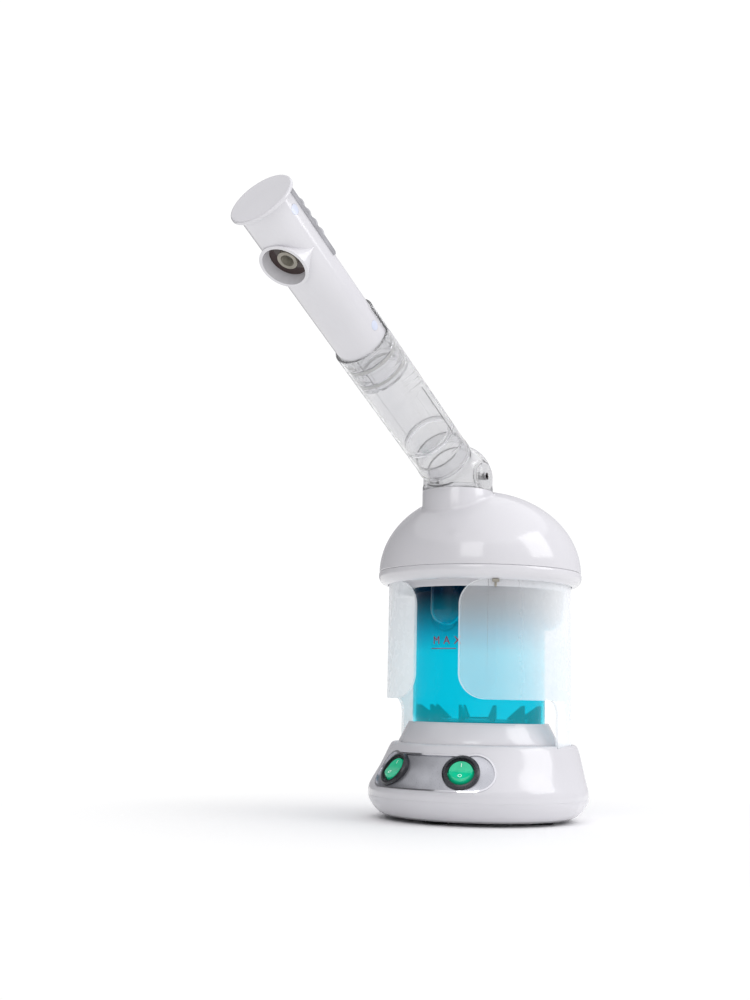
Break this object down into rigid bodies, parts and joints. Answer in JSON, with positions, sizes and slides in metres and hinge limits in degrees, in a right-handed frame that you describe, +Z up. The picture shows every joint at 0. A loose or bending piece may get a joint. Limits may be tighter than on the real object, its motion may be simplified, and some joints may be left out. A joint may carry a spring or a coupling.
{
  "type": "facial steamer",
  "caption": "Tabletop facial steamer: round base with rocker switches, tinted water tank in a frosted shroud, domed lid and a swivelling, tilting, extending arm with a steam nozzle.",
  "frame": {"origin": "on the table, under the axis of the water tank, at the middle foot pad's underside", "axes": "+Z up along the tank's axis, -Y towards the front (switch panel, arm and nozzle side), +X to the right seen from the front"},
  "size_m": [0.1504, 0.3286, 0.381],
  "materials": {
    "white_shell": "glossy white ABS",
    "silver_panel": "satin silver facing",
    "chrome_trim": "polished plating",
    "black_plastic": "glossy black",
    "green_rocker": "translucent green",
    "clear_plastic": "clear, polished",
    "frosted_plastic": "frosted, translucent",
    "cyan_tank": "clear tinted",
    "dark_teal": "clear dark tinted",
    "silicone": "soft, matte",
    "rubber": "matte",
    "boiler_metal": "die cast, satin",
    "steel": "zinc plated",
    "dark_steel": "blackened",
    "circuit_board": "green laminate",
    "ballast_core": "lacquered",
    "brown_lens": "dark tinted",
    "grey_plastic": "satin",
    "vent_metal": "bright, ribbed",
    "lamp_glass": "clear quartz",
    "plug_plastic": "pale, glossy"
  },
  "bodies": {
    "base": {"foot_pads": "rubber", "bottom_pan": "white_shell", "pan_screws": "steel", "base_shell": "white_shell", "control_panel": "silver_panel", "panel_bezel": "chrome_trim", "power_switch": "black_plastic", "ozone_switch": "black_plastic", "mains_inlet": "black_plastic", "collar": "white_shell", "boiler_cup": "boiler_metal", "heater_ring": "steel", "boiler_clamp": "steel", "thermal_cutout": "steel", "control_board": "circuit_board", "lamp_ballast": "ballast_core", "water_tank": "cyan_tank", "tank_gasket": "silicone", "tank_fins": "dark_teal"},
    "lid": {"window_cover": "frosted_plastic", "dome": "white_shell", "rim_ring": "white_shell", "lock_tab": "grey_plastic", "lid_plate": "white_shell", "lid_flange": "white_shell", "lid_seal": "silicone", "plate_screws": "steel", "splash_cup": "dark_teal"},
    "swivel": {"swivel_yoke": "clear_plastic", "swivel_clip": "steel", "pivot_pins": "dark_steel"},
    "lower_arm": {"elbow_ball": "clear_plastic", "lower_tube": "clear_plastic", "stop_ring": "clear_plastic"},
    "slider": {"slide_insert": "clear_plastic", "slide_rings": "silicone", "head_clip": "steel"},
    "head": {"head_tube": "white_shell", "nozzle_liner": "brown_lens", "jet_ring": "grey_plastic", "steam_duct": "silicone", "duct_bulkhead": "white_shell", "ozone_lamp": "lamp_glass", "lamp_holder": "white_shell", "end_cap": "white_shell", "vent_plate": "vent_metal", "screw_plugs": "plug_plastic"},
    "power_key": {"power_rocker": "green_rocker"},
    "ozone_key": {"ozone_rocker": "green_rocker"}
  },
  "joints": [
    {"name": "lid_lift", "type": "slide", "parent": "base", "child": "lid", "axis": [0, 0, 1], "range_m": [0, 0.115]},
    {"name": "arm_swivel", "type": "hinge", "parent": "lid", "child": "swivel", "pos_m": [0, -0.0296, 0.2306], "axis": [0, 0, 1], "range_deg": [-135, 135]},
    {"name": "arm_tilt", "type": "hinge", "parent": "swivel", "child": "lower_arm", "pos_m": [0, -0.0296, 0.2306], "axis": [1, 0, 0], "range_deg": [-38, 0]},
    {"name": "arm_extend", "type": "slide", "parent": "lower_arm", "child": "slider", "axis": [0, -0.848, 0.5299], "range_m": [-0.042, 0]},
    {"name": "head_turn", "type": "hinge", "parent": "slider", "child": "head", "pos_m": [0, -0.0296, 0.2306], "axis": [0, -0.848, 0.5299], "range_deg": [-90, 90]},
    {"name": "power_toggle", "type": "hinge", "parent": "base", "child": "power_key", "pos_m": [-0.02499, -0.06005, 0.03251], "axis": [0.9232, -0.3843, 0], "range_deg": [0, 20]},
    {"name": "ozone_toggle", "type": "hinge", "parent": "base", "child": "ozone_key", "pos_m": [0.02499, -0.06005, 0.03251], "axis": [0.9232, 0.3843, 0], "range_deg": [0, 20]}
  ]
}
